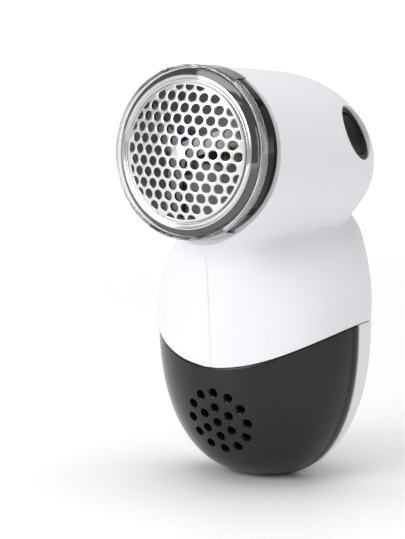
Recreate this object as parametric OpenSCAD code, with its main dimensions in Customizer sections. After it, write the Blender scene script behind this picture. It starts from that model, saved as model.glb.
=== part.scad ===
// Fabric shaver: a barrel head with a domed cutting foil on an upright, egg-shaped handle.
// Millimetres, +Z up, the cutting face towards -Y, the origin at the centre of the small base flat.

/* [Handle] */
// Half width of the handle at its widest level
handle_half_w = 31.5; // [30.5:0.1:32.5]
// Half depth of the handle at its widest level
handle_half_d = 28.4; // [27.8:0.1:29]
// Height of the widest level above the base
handle_mid_z = 47; // [46.5:0.1:47.5]
// Half width of the neck, neck_rise above the widest level
neck_half_w = 24.5; // [24:0.1:25]
// Half depth of the neck at the same level
neck_half_d = 32; // [31.5:0.1:32.5]
// How far the neck's centre lies behind the handle's centre
neck_back = 2.5; // [2.2:0.1:2.8]
// Wall thickness of the moulded skins
wall = 1.8; // [1.6:0.1:2.2]

/* [Head] */
// Height of the centre of the front ring
ring_z = 97.7; // [97.4:0.1:98]
// Place of the front ring's front face in front of the handle's axis
ring_front = 39; // [38.8:0.1:39.2]
// Upward tilt of the barrel towards its front, in degrees
head_tilt = 7; // [6.5:0.1:7.5]
// Largest radius of the barrel
head_r = 24.4; // [24.1:0.1:24.7]
// Radius of the barrel at its open mouth
mouth_r = 24; // [23.8:0.1:24.1]
// Distance of the mouth behind the ring's front face
mouth_back = 9; // [8.8:0.1:9.2]

/* [Ring, foil and cutter] */
// Radius of the chrome ring
ring_r = 23.4; // [23.2:0.1:23.5]
// Radius of the perforated part of the foil
foil_r = 19.5; // [19.3:0.1:19.6]
// Radius of curvature of the foil's dome
dome_r = 50.4; // [48:0.1:54]
// Distance between neighbouring foil holes
hole_pitch = 3.57; // [3.5:0.01:3.7]
// Diameter of a foil hole
hole_d = 2.72; // [2.5:0.01:2.8]
// Number of cutter blades
blade_count = 3; // [2:1:4]
// Angle that each clear tab of the height guard covers, in degrees
guard_tab = 58; // [50:1:62]

/* [Button] */
// Radius of the button's bezel
bezel_r = 8.2; // [8:0.1:8.4]
// Distance that the button travels
button_travel = 1.5; // [1.2:0.1:1.8]

/* [Lint bin and battery door] */
// Radius of the curved seam above the bin and the door
seam_r = 48; // [47.8:0.1:48.2]
// Gap between the parts that come apart
part_gap = 0.3; // [0.25:0.05:0.35]
// Diameter of a vent hole in the bin
vent_d = 2.8; // [2.4:0.1:3]

/* [Motor and battery] */
// Diameter of the motor's can
motor_d = 20.4; // [20:0.1:21]
// Length of the motor's can
motor_l = 25; // [24:0.5:26]
// Diameter of an AA cell
cell_d = 14.2; // [13.9:0.1:14.3]
// Length of an AA cell's case
cell_l = 49.2; // [48.8:0.1:49.4]

/* [Hidden] */
$fn = 96;

// Roundness of the handle's lower half, and its half height.
handle_n = 2.45;
handle_half_h = handle_mid_z + 0.6;
neck_rise = 20;
neck_hold = 1.6;
// Above the neck the handle closes in a shoulder of this height, inside the barrel.
shoulder_h = 16;
// The barrel is widest here behind the ring's front face, and its round tail is this long.
head_fat_back = 42;
head_tail = 34.3;
head_n = 2.05;
// The barrel's tail hangs down and spreads sideways a little.
head_drop = 3.2;
head_drop_back = 80;
head_wide = 1.14;
head_wide_back = 45;
// Fullness of the fillet between barrel and handle, in front and behind, and under the mouth.
fillet_front = 200;
fillet_rear = 15;
fillet_front_y = -5;
fillet_run = 35;
chin_full = 120;
chin_y = -28;
chin_z = 69;
chin_reach = 6;
// A steep end closes the form just in front of the mouth.
mouth_close = 40;
ring_y = -ring_front;

// Centre of the curved seam's circle in the middle plane, and the plane between bin and door.
seam_y = 2.9;
seam_z = -2;
parting_y = 0.8;
// The skins are measured along rays that fan out from this point of the middle plane.
fan_y = 2;
fan_z = 37;
ray_step = 1.5;
halvings = 13;
tip = 0.15;
// Number of rows and columns of facets on the skins.
skin_rows = 18;
tail_columns = 24;
mouth_columns = 14;
chin_columns = 10;
cup_levels = 14;
cup_side = 12;
cup_bunch = 1.5;

// Distance behind the ring's front face, along the barrel's axis.
function head_back(y, z) = (y - ring_y) * cos(head_tilt) - (z - ring_z) * sin(head_tilt);

// Height above the barrel's sagging axis.
function head_up(y, z) =
    (y - ring_y) * sin(head_tilt) + (z - ring_z) * cos(head_tilt)
    + head_drop * pow(max(0, head_back(y, z)) / head_drop_back, 2);

// A power that keeps its sign.
function signed_pow(v, p) = v < 0 ? -pow(-v, p) : pow(v, p);

// Square of the barrel's radius at a distance behind the ring.
function head_r2(back, off) =
    let (
        flare = (head_fat_back - back) / (head_fat_back - mouth_back),
        tail = max(0, (back - head_fat_back) / (head_tail - off))
    )
    back < head_fat_back
        ? pow(head_r - off - (head_r - mouth_r) * flare * flare, 2)
        : pow(head_r - off, 2) * signed_pow(1 - pow(tail, head_n), 2 / head_n);

// Square of the barrel's half width at a point of the middle plane, negative outside it.
function head_x2(y, z, off) =
    let (
        back = head_back(y, z),
        up = head_up(y, z),
        wide = 1 + (head_wide - 1) * min(1, max(0, back / head_wide_back))
    )
    (head_r2(back, off) - up * up) * wide * wide
    - mouth_close * pow(max(0, mouth_back - 1.5 - back), 2);

// Square of the handle's half width: an ellipse at each level, tapered to a neck, closed by a shoulder.
function handle_x2(y, z, off) =
    let (
        rise = z - handle_mid_z,
        under = 1 - pow(abs(min(0, rise)) / (handle_half_h - off), handle_n),
        size = signed_pow(under, 1 / handle_n),
        up = min(neck_hold, max(0, rise / neck_rise)),
        over = max(0, rise - neck_rise) / shoulder_h,
        half_w = (handle_half_w - off) * size - (handle_half_w - neck_half_w) * up * up,
        half_d = (handle_half_d - off) * size + (neck_half_d - handle_half_d) * up,
        across = (y - neck_back * pow(up, 1.5)) / max(1, half_d)
    )
    size > 0 ? half_w * half_w * (1 - over * over - across * across) : -1000;

// Fullness of the fillet, largest under the mouth.
function fillet(y, z) =
    fillet_front + (fillet_rear - fillet_front) * min(1, max(0, (y - fillet_front_y) / fillet_run))
    + chin_full * exp(-(pow(y - chin_y, 2) + pow(z - chin_z, 2)) / pow(chin_reach, 2));

// Square of the whole body's half width: the larger of the two, with a fillet where they meet.
function body_x2(y, z, off) =
    let (
        head = head_x2(y, z, off),
        handle = handle_x2(y, z, off),
        full = fillet(y, z)
    )
    max(head, handle) + full / 2 * exp(-abs(head - handle) / full);

// A point on a ray of the fan. Angle 0 points up and positive angles lean to the front.
function ray_y(angle, run) = fan_y - run * sin(angle);
function ray_z(angle, run) = fan_z + run * cos(angle);
function ray_x2(angle, run, off) = body_x2(ray_y(angle, run), ray_z(angle, run), off);

// Where a ray crosses the seam's circle of the given radius.
function seam_run(angle, r) =
    let (
        dy = fan_y - seam_y,
        dz = fan_z - seam_z,
        along = -dy * sin(angle) + dz * cos(angle)
    )
    -along + sqrt(along * along + r * r - dy * dy - dz * dz);

// Where a ray leaves the body: a march outwards, then repeated halving.
function march(angle, run, off) =
    ray_x2(angle, run, off) < 0 ? run : march(angle, run + ray_step, off);
function halve(angle, inside, outside, off, left) =
    let (mid = (inside + outside) / 2)
    left == 0
        ? mid
        : ray_x2(angle, mid, off) < 0
            ? halve(angle, inside, mid, off, left - 1)
            : halve(angle, mid, outside, off, left - 1);
function exit_run(angle, from, off) =
    let (far = march(angle, from, off))
    halve(angle, far - ray_step, far, off, halvings);

// The angle at which the seam is a hair's breadth from the body's outline.
function seam_tip(inner, outer, off, left) =
    let (
        mid = (inner + outer) / 2,
        short = exit_run(mid, 0, off) < seam_run(mid, seam_r + part_gap / 2) + tip
    )
    left == 0
        ? inner
        : short
            ? seam_tip(inner, mid, off, left - 1)
            : seam_tip(mid, outer, off, left - 1);

// Height in the mouth's plane where the body's outline crosses it, above or below the axis.
function mouth_y(up) = ring_y + mouth_back * cos(head_tilt) + up * sin(head_tilt);
function mouth_z(up) = ring_z - mouth_back * sin(head_tilt) + up * cos(head_tilt);
function mouth_edge(inside, outside, off, left) =
    let (mid = (inside + outside) / 2)
    left == 0
        ? inside
        : body_x2(mouth_y(mid), mouth_z(mid), off) < 0
            ? mouth_edge(inside, mid, off, left - 1)
            : mouth_edge(mid, outside, off, left - 1);
function mouth_angle(up) = atan2(fan_y - mouth_y(up), mouth_z(up) - fan_z);
function mouth_run(angle) =
    (head_back(fan_y, fan_z) - mouth_back) / sin(angle + head_tilt);

// The fan's angles from the rear seam over the top, across the mouth and down to the front seam.
function fan_angles(off) =
    let (
        rear = seam_tip(-70, -100, off, halvings),
        front = seam_tip(70, 110, off, halvings),
        high = mouth_angle(mouth_edge(0, mouth_r + 6, off, halvings)),
        low = mouth_angle(mouth_edge(0, -mouth_r - 6, off, halvings))
    )
    concat(
        [for (i = [0:tail_columns - 1]) rear + (high - rear) * i / tail_columns],
        [for (i = [0:mouth_columns - 1]) high + (low - high) * (1 - cos(180 * i / mouth_columns)) / 2],
        [for (i = [0:chin_columns]) low + (front - low) * i / chin_columns]
    );

// One skin of a housing half: a column of points for each angle, from the seam to the outline.
function housing_skin(off) =
    let (
        angles = fan_angles(off),
        last = tail_columns + mouth_columns
    )
    [for (i = [0:len(angles) - 1])
        let (
            from = seam_run(angles[i], seam_r + part_gap / 2),
            at_mouth = i > tail_columns - 1 && i < last + 1,
            to = at_mouth ? mouth_run(angles[i]) : exit_run(angles[i], from - 1, off),
            edge = i > tail_columns && i < last
        )
        for (j = [0:skin_rows])
            let (
                run = from + (to - from) * sin(90 * j / skin_rows),
                x2 = ray_x2(angles[i], run, off),
                x = j == skin_rows && !edge ? 0 : sqrt(max(0, x2))
            )
            [x, ray_y(angles[i], run), ray_z(angles[i], run)]
    ];

// Faces between two equal grids of points, outer skin first, listed column by column.
function skin_faces(columns, rows) =
    let (
        inner = columns * rows,
        cells = [for (i = [0:columns - 2]) for (j = [0:rows - 2]) i * rows + j]
    )
    concat(
        [for (a = cells) [a, a + rows, a + rows + 1]],
        [for (a = cells) [a, a + rows + 1, a + 1]],
        [for (a = cells) [inner + a, inner + a + rows + 1, inner + a + rows]],
        [for (a = cells) [inner + a, inner + a + 1, inner + a + rows + 1]]
    );

// Faces that close the wall between the skins along a list of edges.
function rim_faces(edges, inner) =
    concat(
        [for (e = edges) [e[0], e[1], inner + e[0]]],
        [for (e = edges) [e[1], inner + e[1], inner + e[0]]]
    );
function first_edges(rows) = [for (j = [0:rows - 2]) [j, j + 1]];
function last_edges(columns, rows) =
    [for (j = [0:rows - 2]) let (a = (columns - 1) * rows + j) [a + 1, a]];
function low_edges(columns, rows) = [for (i = [0:columns - 2]) [(i + 1) * rows, i * rows]];
function high_edges(columns, rows) =
    [for (i = [0:columns - 2]) let (a = (i + 1) * rows - 1) [a, a + rows]];

// The +X half of the housing's skin, from the curved seam up to the middle plane.
module housing_shell() {
    columns = tail_columns + mouth_columns + chin_columns + 1;
    rows = skin_rows + 1;
    rim = concat(first_edges(rows), last_edges(columns, rows), low_edges(columns, rows),
        high_edges(columns, rows));
    polyhedron(
        points = concat(housing_skin(0), housing_skin(wall)),
        faces = concat(skin_faces(columns, rows), rim_faces(rim, columns * rows))
    );
}

// Height of a level of the lower parts: the curved seam at part 0, the floor at part 1.
function level_z(y, part, floor_z) =
    let (dy = y - seam_y)
    (seam_z + sqrt(pow(seam_r - part_gap / 2, 2) - dy * dy)) * (1 - part) + floor_z * part;

// Where a level meets the outline, towards the front (way -1) or the rear (way 1).
function level_end(inside, outside, part, off, floor_z, left) =
    let (mid = (inside + outside) / 2)
    left == 0
        ? inside
        : body_x2(mid, level_z(mid, part, floor_z), off) < 0
            ? level_end(inside, mid, part, off, floor_z, left - 1)
            : level_end(mid, outside, part, off, floor_z, left - 1);

// One skin of a lower part: a row of points for each level, from +X round the end to -X.
function cup_skin(way, from_y, off, floor_z) = [
    for (i = [0:cup_levels])
        let (
            part = 1 - pow(1 - i / cup_levels, cup_bunch),
            end_y = level_end(from_y, way * handle_half_d * 1.2, part, off, floor_z, halvings)
        )
        for (j = [-cup_side:cup_side])
            let (
                y = from_y + (end_y - from_y) * cos(90 * j / cup_side),
                x2 = body_x2(y, level_z(y, part, floor_z), off),
                x = j == 0 ? 0 : sqrt(max(0, x2))
            )
            [(j < 0 ? 1 : -1) * x, y, level_z(y, part, floor_z)]
];

// A list of faces turned round, for a part that lies on the other side of the handle.
function turned(faces, turn) =
    turn ? [for (f = faces) [for (k = [len(f) - 1:-1:0]) f[k]]] : faces;

function count_up(n) = [for (k = [0:n - 1]) k];
function count_down(n) = [for (k = [n - 1:-1:0]) k];

// The bin's cup: its straight wall lies in the parting plane.
module bin_shell() {
    rows = 2 * cup_side + 1;
    columns = cup_levels + 1;
    inner = columns * rows;
    flat_y = parting_y - part_gap / 2;
    end = (columns - 1) * rows;
    skin = cup_skin(-1, flat_y, 0, 0);
    lining = cup_skin(-1, flat_y - wall, wall, wall);
    back = [for (i = [0:columns - 2]) let (a = i * rows) [a, a + rows - 1, a + 2 * rows - 1, a + rows]];
    rim = concat([for (j = [0:rows - 2]) [j, j + 1]], [[rows - 1, 0]]);
    polyhedron(
        points = concat(skin, lining),
        faces = concat(
            skin_faces(columns, rows),
            [for (f = back) [f[0], f[1], f[2]]],
            [for (f = back) [f[0], f[2], f[3]]],
            [for (f = back) [inner + f[0], inner + f[2], inner + f[1]]],
            [for (f = back) [inner + f[0], inner + f[3], inner + f[2]]],
            rim_faces(rim, inner),
            [[for (k = count_down(rows)) end + k]],
            [[for (k = count_up(rows)) inner + end + k]]
        )
    );
}

// The door's half bowl: open towards the bin.
module door_shell() {
    rows = 2 * cup_side + 1;
    columns = cup_levels + 1;
    inner = columns * rows;
    flat_y = parting_y + part_gap / 2;
    end = (columns - 1) * rows;
    rim = concat(
        first_edges(rows),
        [for (i = [0:columns - 2]) [(i + 1) * rows, i * rows]],
        [for (i = [0:columns - 2]) let (a = (i + 1) * rows - 1) [a, a + rows]],
        [[end + rows - 1, end]]
    );
    polyhedron(
        points = concat(cup_skin(1, flat_y, 0, 0), cup_skin(1, flat_y, wall, wall)),
        faces = turned(
            concat(
                skin_faces(columns, rows),
                rim_faces(rim, inner),
                [[for (k = count_down(rows)) end + k]],
                [[for (k = count_up(rows)) inner + end + k]]
            ),
            true
        )
    );
}

// The barrel's own frame: local Z points out of the mouth, local Y up, 0 is the ring's front face.
module in_head() {
    translate([0, ring_y, ring_z]) rotate([90 - head_tilt, 0, 0]) children();
}

// The button's own frame: local Z points out of the barrel's side.
button_x = 24;
button_y = 10.5;
button_z = 99.4;
button_lean = 64;
button_swing = 17;
module in_button() {
    translate([button_x, button_y, button_z]) rotate([0, button_lean, button_swing]) children();
}

// A flat ring between two heights.
module ring_band(outer, inner, low, high) {
    translate([0, 0, low]) difference() {
        cylinder(r = outer, h = high - low);
        translate([0, 0, -1]) cylinder(r = inner, h = high - low + 2);
    }
}

// A round tube along a list of points, with flat ends.
tube_sides = 8;
module tube(points, r) {
    n = len(points);
    way = [for (i = [0:n - 1]) let (d = points[min(n - 1, i + 1)] - points[max(0, i - 1)]) d / norm(d)];
    side = [for (d = way) let (c = cross(d, [0.13, 1, 0.07])) c / norm(c)];
    polyhedron(
        points = [for (i = [0:n - 1]) for (k = [0:tube_sides - 1])
            let (a = 360 * k / tube_sides)
            points[i] + r * (side[i] * cos(a) + cross(way[i], side[i]) * sin(a))],
        faces = concat(
            [[for (k = [tube_sides - 1:-1:0]) k]],
            [[for (k = [0:tube_sides - 1]) (n - 1) * tube_sides + k]],
            [for (i = [0:n - 2]) for (k = [0:tube_sides - 1])
                let (a = i * tube_sides + k, b = i * tube_sides + (k + 1) % tube_sides)
                [a, b, b + tube_sides, a + tube_sides]]
        )
    );
}

// Points of a coil about the local Z axis.
coil_steps = 16;
function coil(r, turns, low, high) =
    [for (i = [0:turns * coil_steps])
        let (a = 360 * i / coil_steps)
        [r * cos(a), r * sin(a), low + (high - low) * i / (turns * coil_steps)]];

// A smooth route through hand-chosen points: each gap is a Catmull-Rom stretch.
route_steps = 4;
function route(p) =
    let (n = len(p))
    concat(
        [for (i = [0:n - 2]) for (k = [0:route_steps - 1])
            let (
                a = p[max(0, i - 1)],
                b = p[i],
                c = p[i + 1],
                d = p[min(n - 1, i + 2)],
                t = k / route_steps
            )
            0.5 * (2 * b + (c - a) * t + (2 * a - 5 * b + 4 * c - d) * t * t
                + (3 * b - a - 3 * c + d) * t * t * t)],
        [p[n - 1]]
    );

// Housing: screw bosses stand along X inside both halves.
boss_places = [[-4, 55], [25.3, 65], [25, 91], [-1, 108.5]];
boss_r = 3;
head_boss_r = 4.2;
screw_r = 1.25;
screw_head_r = 2.7;
screw_head_h = 2;
screw_seat_x = 6.2;
screw_tip_x = 8;
boss_in = 0.7;
function boss_x(place, r) =
    min([for (a = [0:30:330]) sqrt(max(0, body_x2(place[0] + r * cos(a), place[1] + r * sin(a), 0)))])
    - boss_in;
module along_x(place, from, to, r) {
    translate([from, place[0], place[1]]) rotate([0, 90, 0]) cylinder(r = r, h = to - from);
}

housing_white = [0.93, 0.93, 0.95];
module housing_right() color(housing_white) {
    difference() {
        union() {
            housing_shell();
            for (p = boss_places) along_x(p, 0, boss_x(p, boss_r), boss_r);
        }
        for (p = boss_places) along_x(p, -1, screw_tip_x + 1, screw_r);
        in_button() translate([0, 0, -12]) cylinder(r = bezel_r + 0.05, h = 30);
    }
}

module housing_left() color(housing_white) {
    difference() {
        mirror([1, 0, 0]) union() {
            housing_shell();
            for (p = boss_places) along_x(p, 0, boss_x(p, head_boss_r), head_boss_r);
        }
        for (p = boss_places) along_x(p, -screw_seat_x - 1, 1, screw_r + 0.25);
        for (p = boss_places) along_x(p, -handle_half_w - 1, -screw_seat_x, screw_head_r + 0.3);
    }
}

module housing_screws() color("silver") {
    for (p = boss_places) difference() {
        union() {
            along_x(p, -screw_seat_x, screw_tip_x, screw_r);
            along_x(p, -screw_seat_x - screw_head_h, -screw_seat_x, screw_head_r);
        }
        for (turn = [0, 90])
            translate([-screw_seat_x - screw_head_h, p[0], p[1]]) rotate([turn, 0, 0])
                cube([2, 0.7, 3], center = true);
    }
}

// Collar: the band between ring and barrel, with a spigot inside the mouth and bayonet slots.
collar_r = 23.5;
collar_bore = 21;
collar_front = -3.7;
spigot_r = 22;
spigot_bore = 20.8;
spigot_end = -12;
slot_angles = [40, 140, 220, 320];
slot_w = 2.4;
slot_depth = 0.8;
module head_collar() color([0.1, 0.1, 0.11]) in_head() {
    difference() {
        union() {
            ring_band(collar_r, spigot_bore, -mouth_back + 0.05, collar_front);
            ring_band(spigot_r, spigot_bore, spigot_end, -mouth_back + 0.05);
        }
        translate([0, 0, -6]) cylinder(r = collar_bore, h = 6);
        for (a = slot_angles) rotate(a)
            translate([collar_r - slot_depth, -slot_w / 2, -mouth_back + 1.5]) cube([3, slot_w, 10]);
    }
}

// Ring: a dark outer band, a step, a bright inner band, a groove, and a lip over the foil's flange.
lip_r = foil_r + 0.4;
ring_bore = 21;
ring_back = -3.4;
flange_h = 0.3;
module lock_ring() color([0.45, 0.45, 0.47]) in_head() {
    rotate_extrude() polygon([
        [ring_bore, ring_back], [ring_r, ring_back], [ring_r, -0.8], [ring_r - 0.2, -0.3],
        [ring_r - 0.6, 0.1], [21.5, 1.2], [21.25, 1.25], [21.1, 0.8], [20.9, 0.75], [20.7, 0.95],
        [20.2, 1.25], [lip_r, 1.15], [lip_r, flange_h + 0.02], [ring_bore, flange_h + 0.02]
    ]);
}

// Foil: a thin dome with a hexagonal field of holes round a solid centre, a wall and a flange.
foil_t = 0.3;
foil_rim_z = 1.35;
dome_z = foil_rim_z - sqrt(dome_r * dome_r - foil_r * foil_r);
field_r = 18.8;
hole_reach = 5.35;
row_h = sqrt(3) / 2;
hole_places = [
    for (v = [-6:6]) for (u = [-9:9])
        let (x = u + v / 2, y = v * row_h, far = norm([x, y]))
        if (far > 0.5 && far < hole_reach) [x * hole_pitch, y * hole_pitch]
];
module foil() color([0.75, 0.75, 0.76]) in_head() {
    difference() {
        union() {
            translate([0, 0, dome_z]) difference() {
                intersection() {
                    sphere(r = dome_r, $fn = 240);
                    cylinder(r = foil_r, h = 2 * dome_r);
                }
                sphere(r = dome_r - foil_t, $fn = 240);
            }
            ring_band(foil_r, foil_r - foil_t, 0.1, foil_rim_z - 0.12);
            ring_band(ring_bore - 0.1, foil_r - foil_t, 0, flange_h);
        }
        intersection() {
            for (p = hole_places) translate([p[0], p[1], 1]) cylinder(d = hole_d, h = 8, $fn = 32);
            cylinder(r = field_r, h = 12);
        }
    }
}

// Clear height guard: a hoop that slips over the ring, and two broad tabs that reach the barrel.
guard_bore = ring_r + 0.45;
guard_r = guard_bore + 0.65;
guard_front = 0.2;
guard_back = -2.8;
guard_tab_end = -8.8;
module spacer_guard() color([0.85, 0.9, 0.92, 0.4]) in_head() {
    ring_band(guard_r, guard_bore, guard_back, guard_front);
    for (a = [90, 270]) rotate(a - guard_tab / 2)
        rotate_extrude(angle = guard_tab) polygon([
            [guard_bore + 0.1, guard_tab_end], [guard_r + 0.2, guard_tab_end],
            [guard_r, guard_back + 0.5], [guard_bore, guard_back + 0.5]
        ]);
}

// Chamber: the cup behind the foil, with the lint's way out at the bottom.
chamber_r = 20.6;
chamber_bore = 19.3;
chamber_front = -0.3;
chamber_floor = -18;
chamber_back = -19.6;
motor_screw_at = 7.5;
motor_screw_r = 1;
module cutter_chamber() color([0.3, 0.3, 0.32]) in_head() {
    difference() {
        union() {
            ring_band(chamber_r, chamber_bore, chamber_back, chamber_front);
            ring_band(spigot_r, chamber_r - 0.5, spigot_end - 1.6, spigot_end - 0.05);
            translate([0, 0, chamber_back]) cylinder(r = chamber_bore + 0.5, h = 1.6);
        }
        translate([0, 0, chamber_back - 1]) cylinder(r = 4.2, h = 5);
        for (x = [-motor_screw_at, motor_screw_at])
            translate([x, 0, chamber_back - 1]) cylinder(r = motor_screw_r + 0.1, h = 5);
        translate([-6.2, -chamber_r - 2, chamber_floor]) cube([12.4, 8, 7.5]);
    }
}

// Cutter: a hub on the motor's shaft and spring-steel blades that follow the foil's dome.
shaft_r = 1;
blade_reach = 18.2;
blade_w = 5;
blade_t = 0.6;
blade_top = dome_r - foil_t - 0.35;
fin_t = 0.6;
fin_h = 3;
hub_back = -13;
module cutter_hub() color([0.12, 0.2, 0.42]) in_head() {
    difference() {
        union() {
            translate([0, 0, hub_back]) cylinder(r = 3.4, h = 15);
            translate([0, 0, 1.6]) cylinder(r = 6.5, h = 1.8);
            translate([0, 0, 3]) cylinder(r = 2.4, h = 0.95);
        }
        translate([0, 0, hub_back - 1]) cylinder(r = shaft_r, h = 14);
    }
}
module blade_arms(from, width, shift, low) {
    for (k = [0:blade_count - 1]) rotate(360 * k / blade_count + 20)
        translate([from, shift - width / 2, low]) cube([blade_reach - from, width, 14]);
}
module dome_layer(outer, thickness) {
    translate([0, 0, dome_z]) difference() {
        sphere(r = outer, $fn = 240);
        sphere(r = outer - thickness, $fn = 240);
    }
}
module cutter_blades() color([0.7, 0.7, 0.72]) in_head() {
    intersection() {
        dome_layer(blade_top, blade_t);
        blade_arms(-1, blade_w, 0, 0);
    }
    intersection() {
        dome_layer(blade_top - blade_t / 2, fin_h);
        blade_arms(7, fin_t, blade_w / 2 - fin_t, -6);
    }
}
module hub_spring() color("silver") in_head() {
    tube(coil(2.2, 3, chamber_floor + 0.5, hub_back - 0.35), 0.3);
}

// Motor: a steel can with magnets, an armature on a shaft, two bushes and a nylon end cap.
motor_r = motor_d / 2;
motor_front = chamber_back - 0.02;
motor_back = motor_front - motor_l;
motor_wall = 0.9;
bush_r = 2.6;
bush_bore = shaft_r + 0.05;
armature_r = 7.6;
cap_h = 2;
module motor_can() color([0.6, 0.6, 0.62]) in_head() {
    difference() {
        translate([0, 0, motor_back]) cylinder(r = motor_r, h = motor_l);
        translate([0, 0, motor_back - 1]) cylinder(r = motor_r - motor_wall, h = motor_l);
        translate([0, 0, motor_front - 3]) cylinder(r = bush_r, h = 5);
        for (x = [-motor_screw_at, motor_screw_at])
            translate([x, 0, motor_front - 3]) cylinder(r = motor_screw_r, h = 5);
    }
}
magnet_gap = 44;
module motor_magnets() color([0.2, 0.2, 0.2]) in_head() {
    for (a = [0, 180]) rotate(a + magnet_gap / 2) rotate_extrude(angle = 180 - magnet_gap)
        translate([armature_r + 0.4, motor_back + 5]) square([motor_r - motor_wall - armature_r - 0.45, 16]);
}
module motor_armature() color([0.72, 0.42, 0.2]) in_head() {
    difference() {
        union() {
            translate([0, 0, motor_back + 6]) cylinder(r = armature_r, h = 14);
            translate([0, 0, motor_back + 1.5]) cylinder(r = 2.6, h = 5);
        }
        translate([0, 0, motor_back]) cylinder(r = shaft_r, h = 24);
        for (a = [0, 120, 240]) rotate(a) translate([4, -1, motor_back + 5]) cube([6, 2, 16]);
    }
}
module motor_shaft() color([0.75, 0.75, 0.77]) in_head() {
    translate([0, 0, motor_back - cap_h - 0.6])
        cylinder(r = shaft_r, h = hub_back + 12.6 - (motor_back - cap_h - 0.6));
}
module shaft_bushes() color([0.75, 0.6, 0.3]) in_head() {
    ring_band(bush_r, bush_bore, motor_front - 2.4, motor_front + 0.8);
    ring_band(bush_r, bush_bore, motor_back - cap_h, motor_back + 0.3);
}
module motor_end_cap() color([0.9, 0.9, 0.88]) in_head() {
    ring_band(motor_r, bush_r, motor_back - cap_h, motor_back - 0.02);
}
module motor_terminals() color([0.8, 0.65, 0.35]) in_head() {
    for (x = [-6, 6]) translate([x - 0.25, -1.2, motor_back - cap_h - 4]) cube([0.5, 2.4, 4]);
}
module motor_screws() color("silver") in_head() {
    for (x = [-motor_screw_at, motor_screw_at]) translate([x, 0, 0]) {
        translate([0, 0, chamber_floor]) cylinder(r = 1.9, h = 1.2);
        translate([0, 0, motor_front - 2]) cylinder(r = motor_screw_r - 0.05, h = chamber_floor - motor_front + 2);
    }
}
cradle_front = -25;
cradle_w = 4;
module motor_cradle() color(housing_white) in_head() {
    ring_band(motor_r + 2.4, motor_r + 0.05, cradle_front - cradle_w, cradle_front);
    for (side = [-1, 1])
        translate([side * (motor_r + 6) - 4.2, -1.5, cradle_front - cradle_w]) cube([8.4, 3, cradle_w]);
}

// Lint's way down: a flat duct from the chamber to the seam, and the curved floor it ends in.
duct_half_w = 7.5;
duct_wall = 1.2;
floor_low = 0.2;
floor_t = 1.4;
floor_r = seam_r + part_gap / 2 + floor_low;
module duct_block(half_w, inset) {
    rotate([90, 0, 90]) linear_extrude(height = 2 * half_w, center = true) polygon([
        [-23.5 + inset, 36], [-24.6 + inset, 60], [-25.2 + inset, 69], [-28.4 + inset, 74.5],
        [-28.4 + inset, 80], [-21 - inset, 80], [-17 - inset, 72], [-13 - inset, 60], [-13 - inset, 36]
    ]);
}
module seam_roller(r) {
    translate([0, seam_y, seam_z]) rotate([0, 90, 0]) cylinder(r = r, h = 80, center = true);
}
module lint_duct() color([0.85, 0.85, 0.87]) {
    difference() {
        duct_block(duct_half_w, 0);
        duct_block(duct_half_w - duct_wall, duct_wall);
        in_head() translate([0, 0, -40]) cylinder(r = chamber_r + 0.1, h = 50);
        in_head() ring_band(spigot_r + 0.1, 10, spigot_end - 1.7, 10);
        seam_roller(floor_r + floor_t + 0.02);
    }
}
module seam_floor() color([0.85, 0.85, 0.87]) {
    difference() {
        intersection() {
            seam_roller(floor_r + floor_t);
            translate([0, 0, 30]) cylinder(r = 25.2, h = 30);
            translate([-30, -30, 20]) cube([60, 31.5, 40]);
        }
        seam_roller(floor_r);
        translate([-6.3, -22.3, 20]) cube([12.6, 8.1, 40]);
    }
}

// Lint bin: a cup with three rings of vent holes low on its front.
vent_z = 18.4;
vent_rings = [[1, 0], [6, 4.7], [12, 9.2]];
function front_y(z) =
    -handle_half_d * pow(1 - pow((handle_mid_z - z) / handle_half_h, handle_n), 1 / handle_n);
vent_lean = atan(-(front_y(vent_z + 1) - front_y(vent_z - 1)) / 2);
module lint_bin() color([0.16, 0.16, 0.16]) {
    difference() {
        bin_shell();
        translate([0, front_y(vent_z), vent_z]) rotate([90 + vent_lean, 0, 0])
            for (ring = vent_rings) for (k = [0:ring[0] - 1]) rotate(90 + 360 * k / ring[0])
                translate([ring[1], 0, -7]) cylinder(d = vent_d, h = 12, $fn = 32);
    }
}
module battery_door() color(housing_white) door_shell();

// Battery: a tray open to the rear, two AA cells side by side, springs and contact plates.
cell_x = 7.5;
cell_y = 12.2;
tray_low = 14.6;
tray_floor = 16;
tray_top = 68.4;
tray_back = 2.2;
tray_wall = 1.4;
tray_half_w = 16.2;
nub_r = 2.6;
nub_h = 1.3;
contact_t = 0.4;
tray_roof = tray_top + tray_wall;
module battery_tray() color([0.3, 0.3, 0.32]) {
    translate([-12, tray_back, tray_low]) cube([24, tray_wall, 8]);
    translate([-tray_half_w, tray_back, tray_low + 7]) cube([2 * tray_half_w, tray_wall, tray_roof - tray_low - 7]);
    for (side = [-1, 1])
        translate([side * (tray_half_w - tray_wall / 2) - tray_wall / 2, tray_back, tray_low + 7])
            cube([tray_wall, 9, tray_roof - tray_low - 7]);
    translate([0, 0, tray_low]) linear_extrude(height = tray_wall) {
        for (side = [-1, 1]) translate([side * cell_x, cell_y]) circle(r = 6.2);
        translate([-cell_x, tray_back]) square([2 * cell_x, 16]);
    }
    translate([-tray_half_w, tray_back, tray_top]) cube([2 * tray_half_w, 16.5, tray_wall]);
}
module cell() {
    cylinder(d = cell_d, h = cell_l);
    cylinder(r = nub_r, h = cell_l + nub_h);
}
module battery_cells() color([0.75, 0.55, 0.25]) {
    translate([cell_x, cell_y, tray_top - contact_t - nub_h - cell_l]) cell();
    translate([-cell_x, cell_y, tray_floor + contact_t + nub_h + cell_l]) mirror([0, 0, 1]) cell();
}
spring_wire = 0.25;
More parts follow.
